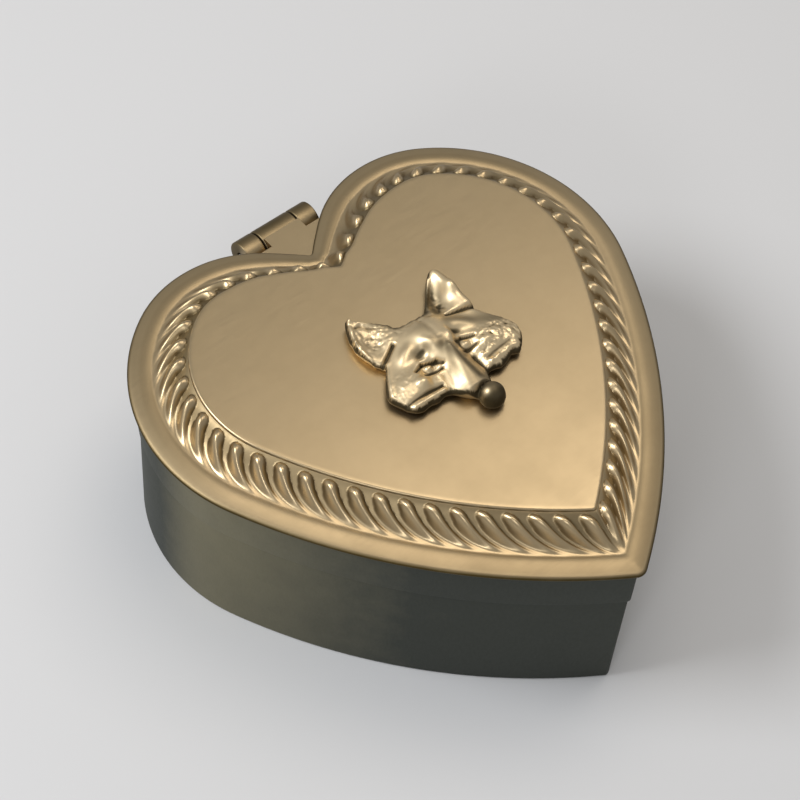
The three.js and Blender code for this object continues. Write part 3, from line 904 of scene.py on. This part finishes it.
foxMask = {
    "place": (0.7, -12.5),
    "turn": -3.0,
    "seat": 38.4,
    "grid": 0.18,
    "pointsASpan": 7,
    "outline": [
        (-0.7, 7.1), (1.8, 7.2), (3.2, 8.5), (4.7, 10.2), (6.4, 12.3), (8.1, 13.5), (9.3, 12.6),
        (9.8, 10.4), (9.5, 7.6), (9.7, 4.9), (9.7, 3.3), (10.9, 1.3), (12.3, -0.7), (13.0, -2.4),
        (12.9, -4.2), (12.0, -5.8), (10.3, -7.3), (8.9, -7.0), (7.4, -7.6), (5.9, -8.0),
        (4.4, -7.6), (3.4, -7.7), (2.9, -8.8), (2.55, -9.8), (2.9, -10.7), (3.2, -11.75),
        (2.8, -12.9), (1.9, -13.6), (0.9, -13.8), (-0.2, -13.5), (-1.0, -12.7), (-1.2, -11.6),
        (-1.1, -10.7), (-2.0, -9.9), (-3.0, -8.9), (-3.8, -7.8), (-5.1, -7.4), (-6.6, -7.7),
        (-8.0, -7.5), (-9.6, -7.7), (-11.1, -7.1), (-12.0, -5.6), (-13.0, -3.3), (-12.5, -1.7),
        (-11.1, 0.3), (-9.7, 2.2), (-10.6, 3.6), (-11.2, 5.4), (-11.5, 7.6), (-11.1, 9.9),
        (-10.2, 12.0), (-9.2, 13.3), (-7.8, 12.1), (-6.1, 10.4), (-4.6, 8.9), (-3.2, 7.5),
    ],
    # broad forms: x, y, half width, half length, turn, height
    "forms": [
        (-0.6, 3.0, 4.4, 3.6, 0, 2.0),
        (-0.4, -1.2, 2.1, 3.0, 0, 1.5),
        (-8.0, -3.4, 3.6, 2.5, 20, 0.85),
        (7.6, -3.0, 3.8, 2.6, -18, 0.85),
        (-7.2, -4.4, 1.2, 1.0, 0, 0.75),
        (6.2, -3.6, 1.6, 1.1, -10, 0.35),
        (1.5, 0.3, 0.8, 1.5, -12, 0.75),
        (-2.3, 0.6, 0.8, 1.5, 12, 0.45),
        (-6.3, 1.6, 1.8, 1.0, 35, 0.55),
        (5.4, 1.8, 1.9, 1.0, -35, 0.5),
        (-4.2, 0.4, 1.1, 0.8, 20, -0.5),
        (3.4, 0.8, 1.0, 0.7, -20, -0.35),
        (-4.5, -2.3, 1.7, 1.1, 8, -1.0),
        (3.4, -2.0, 1.7, 1.1, -8, -0.6),
        (-4.4, -2.2, 0.75, 0.6, 0, 0.8),
        (3.3, -1.9, 0.75, 0.6, 0, 0.7),
        (-8.5, 7.2, 1.5, 3.2, -8, -0.7),
        (5.2, 8.0, 1.5, 3.2, -24, -1.4),
        (3.1, -5.0, 0.9, 2.4, 6, -0.6),
        (0.4, -9.9, 0.9, 0.5, 0, -1.1),
    ],
    # drawn lines: from, to, half width, height
    "lines": [
        ((-9.4, 2.6), (-12.5, -3.2), 0.6, 0.35),
        ((-0.3, 5.2), (-0.4, 0.8), 0.6, -0.3),
        ((-6.8, -1.9), (-5.0, -1.1), 0.26, -0.5),
        ((-5.0, -1.1), (-2.9, -1.9), 0.26, -0.5),
        ((-5.9, -3.3), (-2.7, -3.5), 0.28, -0.45),
        ((-2.9, -1.9), (-2.2, -2.9), 0.3, -0.4),
        ((1.7, -1.0), (3.3, -0.6), 0.26, -0.25),
        ((3.3, -0.6), (5.4, -1.4), 0.26, -0.45),
        ((2.0, -3.0), (4.8, -2.9), 0.28, -0.35),
        ((1.1, -2.3), (1.5, -4.0), 0.35, -0.4),
        ((-11.6, -5.9), (-4.6, -6.0), 0.3, -0.36),
        ((-11.4, -7.0), (-4.9, -6.9), 0.42, 0.35),
        ((4.6, -5.8), (9.6, -5.3), 0.3, -0.2),
        ((4.2, -6.8), (10.2, -6.3), 0.4, 0.3),
        ((-10.9, 4.6), (-11.0, 8.4), 0.45, 0.5),
        ((-11.0, 8.4), (-9.3, 12.8), 0.45, 0.55),
        ((-9.0, 12.6), (-4.4, 8.2), 0.4, 0.5),
        ((8.2, 12.7), (8.6, 8.6), 1.4, 0.9),
        ((8.6, 8.6), (8.9, 4.9), 1.4, 0.9),
        ((3.0, 8.0), (6.6, 12.2), 0.4, 0.5),
        ((-9.8, 2.6), (-6.4, 4.6), 0.35, -0.7),
        ((9.4, 3.6), (4.6, 4.6), 0.4, -0.7),
        ((-3.4, -4.6), (-3.9, -7.4), 0.35, -0.15),
        ((3.0, -4.6), (3.4, -7.2), 0.35, -0.2),
    ],
    # the muzzle, a flat-topped ridge from between the eyes to the nose; slopes are for its start and end
    "muzzle": {
        "from": -1.8,
        "length": 7.4,
        "middle": -0.2,
        "high": 5.7,
        "low": 3.65,
        "narrow": 0.3,
        "wide": 1.35,
        "leftSlope": (2.3, 0.85),
        "rightSlope": (1.6, 1.5),
        "soft": 0.45,
        "blend": 2.8,
        "browReach": 1.1,
        "endsFrom": 9.3,
        "endsAt": 10.6,
    },
    "nose": (1.0, -11.7, 2.1, 1.9),  # x, y, radius, height of its middle
    "edgeHeight": 1.9,
    "pillow": 0.8,
    "pillowReach": 1.3,
    "edgeDrop": 0.5,
    "edgeReach": 0.22,
    # fur, in strokes that fan out over the cheeks, and in fine dabs over the ears and the right cheek
    "fur": {
        "depth": 0.11,
        "fromLines": 0.7,
        "cheeks": ((-1, -4.0, 0.4, 0.15), (1, 3.0, 0.7, 1.7)),  # side, x of the eye, strokes, dabs
        "fanY": -1.0,
        "fanStretch": 5.0,
        "strokeCell": 0.42,
        "dabCells": (0.75, 0.4),
        "earCells": (0.5, 0.9),
    },
    "undercut": 0.75,
    "sides": ((0.75, 0.02), (0.45, 0.3), (0.0, 1.0)),  # share of the height, share of the undercut
}
# how deep the tarnish and painted shade lie on the mask, from 0 for clean metal to 1
maskTarnishAndShade = {
    "lookAround": (0.45, 0.9),  # a hollow lies below the mean height at these distances
    "hollowFrom": 0.015,
    "hollowFull": 0.22,
    # the nose is dark with tarnish, and darker still underneath as painted shade
    "noseTop": 0.88,
    "noseUnder": 1.0,
    # a painted highlight on the nose, where its tarnish is lightened
    "noseGlint": (-1.3, 0.3, 0.22, 0.85),  # place from the nose's middle, spread, share cleaned
    # painted shadow along the far edge of the head
    "farEdge": 0.95,
    "farEdgeReach": 1.0,
    "muzzleTop": 0.46,
    # painted shade in bands over the face: from, to, half width, depth
    "shadeBands": [
        ((3.6, 3.3), (11.2, -0.4), 1.4, 0.62),
        ((3.6, 6.2), (5.4, 10.8), 1.1, 0.85),
        ((-8.0, 3.0), (-1.0, 3.8), 1.5, 0.42),
        ((-4.6, 1.0), (-1.4, 0.5), 1.0, 0.5),
        ((-10.4, 10.0), (-9.0, 3.5), 2.0, 0.25),
        ((-0.9, -0.6), (1.0, -8.2), 1.2, 0.86),
        ((-2.2, -8.7), (0.3, -9.3), 0.9, 0.5),
        ((-3.2, -9.0), (1.0, -9.6), 0.8, 0.4),
    ],
    # painted shade on the sides, for the shadow under the undercut
    "sides": (0.75, 1.0, 1.0),  # down the sides, ring by ring
    "noseSides": 0.9,
    # the left ear's and the chin's sides are left lighter
    "earLessShade": 0.85,
    "chinLessShade": 0.7,
    "chin": (-2.2, -9.6, 1.6),  # x, y, spread
}


def splineThrough(control, perSpan):
    # a closed curve through the control points
    p = np.array(control, float)
    before, after, beyond = np.roll(p, 1, 0), np.roll(p, -1, 0), np.roll(p, -2, 0)
    out = []
    for t in np.arange(perSpan) / perSpan:
        tangentA, tangentB = 0.42 * (after - before), 0.42 * (beyond - p)
        out.append(
            (2 * t**3 - 3 * t**2 + 1) * p + (t**3 - 2 * t**2 + t) * tangentA
            + (-2 * t**3 + 3 * t**2) * after + (t**3 - t**2) * tangentB
        )
    return np.stack(out, 1).reshape(-1, 2)


def segmentDistance(points, a, b):
    a, b = np.asarray(a, float), np.asarray(b, float)
    along = b - a
    t = np.clip(((points - a) @ along) / max(along @ along, 1e-12), 0, 1)
    return np.linalg.norm(points - a - t[:, None] * along, axis=1)


def edgeDistance(points, loop):
    best = np.full(len(points), 1e9)
    for a, b in zip(loop, np.roll(loop, -1, 0)):
        best = np.minimum(best, segmentDistance(points, a, b))
    return best


def insideLoop(points, loop):
    x, y = points[:, 0], points[:, 1]
    inside = np.zeros(len(points), bool)
    for (x0, y0), (x1, y1) in zip(loop, np.roll(loop, -1, 0)):
        crosses = (y0 > y) != (y1 > y)
        inside ^= crosses & (x < (x1 - x0) * (y - y0) / (y1 - y0 + 1e-15) + x0)
    return inside


def foxHeight(points, edge):
    # height of the casting above the panel
    m = foxMask
    x, y = points[:, 0], points[:, 1]
    height = m["edgeHeight"] + m["pillow"] * (1 - np.exp(-edge / m["pillowReach"]))
    for cx, cy, wide, long, turn, lift in m["forms"]:
        t = math.radians(turn)
        u = (x - cx) * math.cos(t) + (y - cy) * math.sin(t)
        v = (y - cy) * math.cos(t) - (x - cx) * math.sin(t)
        height = height + lift * np.exp(-((u / wide) ** 2 + (v / long) ** 2) ** 1.25)
    for a, b, wide, lift in m["lines"]:
        height = height + lift * np.exp(-((segmentDistance(points, a, b) / wide) ** 2))
    muzzle = m["muzzle"]
    run = np.clip((muzzle["from"] - y) / muzzle["length"], 0, 1)
    top = muzzle["high"] + (muzzle["low"] - muzzle["high"]) * run
    side = np.abs(x - muzzle["middle"]) - muzzle["narrow"] - (muzzle["wide"] - muzzle["narrow"]) * run
    left, right = [a + (b - a) * run for a, b in (muzzle["leftSlope"], muzzle["rightSlope"])]
    slope = np.where(x < muzzle["middle"], left, right)
    roof = top - slope * muzzle["soft"] * np.logaddexp(0, side / muzzle["soft"])
    roof = roof - (np.clip(y - muzzle["from"], 0, None) / muzzle["browReach"]) ** 2
    height = np.logaddexp(muzzle["blend"] * height, muzzle["blend"] * roof) / muzzle["blend"]
    fur = m["fur"]
    clear = np.ones(len(x))
    for a, b, wide, lift in m["lines"]:
        if lift < 0:
            clear = clear * (1 - np.exp(-((segmentDistance(points, a, b) / fur["fromLines"]) ** 2)))
    offMuzzle = smoothStep(side, 0.8, 1.8)
    coarse, fine = fur["dabCells"]
    dabs = blotches(x + 0.3 * y, y, coarse) + 0.5 * blotches(x, y, fine)
    for hand, eyeX, strokes, spots in fur["cheeks"]:
        angle = np.arctan2(y - fur["fanY"], (x - eyeX) * hand)
        reach = np.hypot(x - eyeX, y - fur["fanY"])
        cheek = smoothStep(reach, 2.4, 3.8) * smoothStep(-y, -0.5, 1.5) * smoothStep(x * hand, 2.8, 4.4)
        fan = blotches(angle * fur["fanStretch"], reach, fur["strokeCell"])
        fan = fan + 0.4 * np.sin(angle * 17 + 1.6 * np.sin(reach))
        height = height + fur["depth"] * cheek * clear * offMuzzle * (strokes * fan + spots * dabs)
    ear = smoothStep(y, 4.5, 6.5) * (1 - smoothStep(x, 5.2, 6.4))
    fine, coarse = fur["earCells"]
    tufts = 1.3 * blotches(x, y, fine) + 0.5 * blotches(x + y, y, coarse)
    height = height + fur["depth"] * ear * tufts
    # the nose stands off the end of the muzzle as a ball
    noseX, noseY, radius, level = m["nose"]
    fromNose = np.hypot(x - noseX, y - noseY)
    ball = level + np.sqrt(np.clip(radius**2 - fromNose**2, 0, None))
    muzzleEnd = smoothStep(-y, muzzle["endsFrom"], muzzle["endsAt"])
    height = height * (1 - muzzleEnd) + np.minimum(height, level) * muzzleEnd
    height = np.where(fromNose < radius, np.maximum(height, ball), height)
    return height - m["edgeDrop"] * np.exp(-edge / m["edgeReach"]) * (edge < 1.2)


def maskTriangles(loop):
    # fills the outline with an even grid; the outline's own points come first
    step = foxMask["grid"]
    low, high = loop.min(0), loop.max(0)
    columns = np.arange(low[0], high[0], step)
    rows = np.arange(low[1], high[1], step * 0.866)
    gx, gy = np.meshgrid(columns, rows)
    gx = gx + (np.arange(len(rows)) % 2)[:, None] * step / 2
    inner = np.column_stack([gx.ravel(), gy.ravel()])
    inner = inner[insideLoop(inner, loop)]
    inner = inner[edgeDistance(inner, loop) > 0.13]
    flat = [Vector(p) for p in np.concatenate([loop, inner])]
    points, _, faces, *_ = delaunay_2d_cdt(flat, [], [list(range(len(loop)))], 1, 1e-5)
    return np.array([tuple(p) for p in points]), [tuple(f) for f in faces]


def meanAround(flat, height, loop):
    # mean height of the casting round each point
    total = np.zeros(len(flat))
    weight = np.zeros(len(flat))
    for angle in np.linspace(0, 2 * math.pi, 12, endpoint=False):
        for reach in maskTarnishAndShade["lookAround"]:
            there = flat + polar(reach, angle)
            inside = insideLoop(there, loop)
            heightThere = foxHeight(there, np.where(inside, edgeDistance(there, loop), 0.0))
            total += np.where(inside, heightThere, 0)
            weight += inside
    return np.where(weight > 0, total / np.maximum(weight, 1), height)


def maskTopTarnishAndShade(flat, height, edge, onNose, loop):
    t = maskTarnishAndShade
    x, y = flat[:, 0], flat[:, 1]
    # tarnish in the casting's hollows
    hollow = smoothStep(meanAround(flat, height, loop) - height, t["hollowFrom"], t["hollowFull"])
    noseX, noseY, *_ = foxMask["nose"]
    glintX, glintY, glintSpread, glintLightens = t["noseGlint"]
    glint = np.exp(-(((x - noseX - glintX) ** 2 + (y - noseY - glintY) ** 2) / glintSpread))
    noseDull = t["noseTop"] + (t["noseUnder"] - t["noseTop"]) * smoothStep(noseY - y, -0.5, 1.2)
    # the nose is dark, darker underneath as painted shade, with a painted highlight where its tarnish is
    # lightened
    hollow = np.maximum(hollow, noseDull * onNose) * (1 - glintLightens * glint * onNose)
    # painted shadow along the far edge of the head; the top of the muzzle is darker too
    onFar = smoothStep(y, 1.5, 4.0) * smoothStep(x, -8.0, -6.0) * (1 - smoothStep(x, 5.0, 7.0))
    hollow = np.maximum(hollow, t["farEdge"] * onFar * np.exp(-((edge / t["farEdgeReach"]) ** 4)))
    onTop = smoothStep(x, -1.9, -1.3) * (1 - smoothStep(x, 2.4, 3.4)) * smoothStep(-y, 2.0, 4.5)
    hollow = np.maximum(hollow, t["muzzleTop"] * onTop * (1 - smoothStep(-y, 9.0, 10.0)))
    # painted shade in bands over the face
    for a, b, wide, depth in t["shadeBands"]:
        hollow = np.maximum(hollow, depth * np.exp(-((segmentDistance(flat, a, b) / wide) ** 2)))
    return hollow


def maskSideShade(loop, onNose):
    # painted shade: the sides are dark but for the left ear and the chin, which are left lighter
    t = maskTarnishAndShade
    x, y = loop[:, 0], loop[:, 1]
    chinX, chinY, chinSpread = t["chin"]
    onEar = smoothStep(y, -2.0, 2.0) * smoothStep(-x, 8.0, 9.5)
    onChin = np.exp(-(((x - chinX) ** 2 + (y - chinY) ** 2) / chinSpread))
    share = (1 - t["earLessShade"] * onEar) * (1 - t["chinLessShade"] * onChin)
    return [depth * share + (t["noseSides"] - depth) * onNose for depth in t["sides"]]


def buildFoxMask():
    m = foxMask
    loop = splineThrough(m["outline"], m["pointsASpan"])
    count = len(loop)
    flat, faces = maskTriangles(loop)
    edge = edgeDistance(flat, loop)
    height = foxHeight(flat, edge)
    # the sides drop to the panel, tucked under a little
    along = np.roll(loop, -1, 0) - np.roll(loop, 1, 0)
    inward = np.column_stack([-along[:, 1], along[:, 0]])
    inward /= np.linalg.norm(inward, axis=1)[:, None]
    if not insideLoop(loop[:1] + 0.05 * inward[:1], loop)[0]:
        inward = -inward
    rings = [np.column_stack([flat, height])]
    for share, tuck in m["sides"]:
        ring = loop + inward * m["undercut"] * tuck
        rings.append(np.column_stack([ring, height[:count] * share]))
    starts = [0] + [len(flat) + i * count for i in range(len(m["sides"]))]
    for a, b in zip(starts, starts[1:]):
        faces += [(a + j, a + (j + 1) % count, b + (j + 1) % count, b + j) for j in range(count)]
    faces.append(tuple(range(starts[-1], starts[-1] + count)))
    # turned and set down on the panel
    x, y, z = np.concatenate(rings).T
    turn = math.radians(m["turn"])
    placed = np.column_stack([
        m["place"][0] + x * math.cos(turn) - y * math.sin(turn),
        m["place"][1] + x * math.sin(turn) + y * math.cos(turn) + heart["shiftY"],
        m["seat"] + z,
    ])
    piece = newMesh("foxMask", placed * mm, faces, smoothAngle=70)
    noseX, noseY, radius, _ = m["nose"]
    onNose = 1 - smoothStep(np.hypot(flat[:, 0] - noseX, flat[:, 1] - noseY), radius * 1.1, radius * 1.3)
    hollow = maskTopTarnishAndShade(flat, height, edge, onNose, loop)
    addMask(piece, "hollow", np.concatenate([hollow, *maskSideShade(flat[:count], onNose[:count])]))
    return piece


dress(buildFoxMask(), metals["pewterCastLit"], "lid", "fox_mask")
print("fox mask built")

# floor, light and camera

studio = {
    "floor": (0.62, 0.63, 0.65),
    "floorReach": 4.0,
    "worldColour": (1.0, 0.99, 0.97),
    "worldStrength": 0.42,
}
lamps = {
    "keyLamp": {"place": (-0.42, 0.30, 0.52), "aim": (0, 0, 0.02), "size": 0.34, "power": 3.1},
    "panelSheen": {
        "place": (0.143, 0.05, 0.46),
        "aim": (0.143, 0.05, 0),
        "size": (0.325, 0.24),
        "power": 0.585,
        "colour": (1, 0.9, 0.78),
    },
    "edgeLamp": {"place": (-0.43, -0.23, 0.36), "aim": (0, 0, 0.04), "size": 0.15, "power": 0.42},
}
cameraLook = {
    "place": (-0.160257, -0.148464, 0.328063),
    "turn": (35.92014, -3.38245, -40.71116),  # degrees about x, y and z
    "lens": 102.155,
    "sensor": 36,
    "clip": (0.01, 20),
}


def buildFloor():
    r = studio["floorReach"]
    mesh = bpy.data.meshes.new("floor")
    mesh.from_pydata([(-r, -r, 0), (r, -r, 0), (r, r, 0), (-r, r, 0)], [], [(0, 1, 2, 3)])
    floor = bpy.data.objects.new("floor", mesh)
    bpy.context.scene.collection.objects.link(floor)
    material, _, shader = startMaterial("paleFloor")
    shader.inputs["Base Color"].default_value = (*studio["floor"], 1)
    shader.inputs["Roughness"].default_value = 0.85
    mesh.materials.append(material)


def buildWorld():
    world = bpy.data.worlds.new("studio")
    bpy.context.scene.world = world
    world.use_nodes = True
    background = world.node_tree.nodes["Background"]
    background.inputs["Color"].default_value = (*studio["worldColour"], 1)
    background.inputs["Strength"].default_value = studio["worldStrength"]


def addLamp(name, place, aim, size, power, colour=(1, 1, 1)):
    # a round lamp, or an oblong one where two sizes are given
    data = bpy.data.lights.new(name, "AREA")
    oblong = hasattr(size, "__len__")
    data.shape = "RECTANGLE" if oblong else "DISK"
    data.size, data.size_y = size if oblong else (size, size)
    data.energy = power
    data.color = colour
    lamp = bpy.data.objects.new(name, data)
    lamp.location = place
    lamp.rotation_euler = (Vector(aim) - Vector(place)).to_track_quat("-Z", "Y").to_euler()
    bpy.context.scene.collection.objects.link(lamp)


def buildCamera():
    data = bpy.data.cameras.new("camera")
    data.lens = cameraLook["lens"]
    data.sensor_width = cameraLook["sensor"]
    data.clip_start, data.clip_end = cameraLook["clip"]
    camera = bpy.data.objects.new("camera", data)
    turn = Euler([math.radians(angle) for angle in cameraLook["turn"]])
    camera.matrix_world = Matrix.LocRotScale(Vector(cameraLook["place"]), turn, None)
    bpy.context.scene.collection.objects.link(camera)
    bpy.context.scene.camera = camera


buildFloor()
buildWorld()
for name, lamp in lamps.items():
    addLamp(name, **lamp)
buildCamera()
bpy.context.scene.view_settings.view_transform = "Standard"
print("studio set")
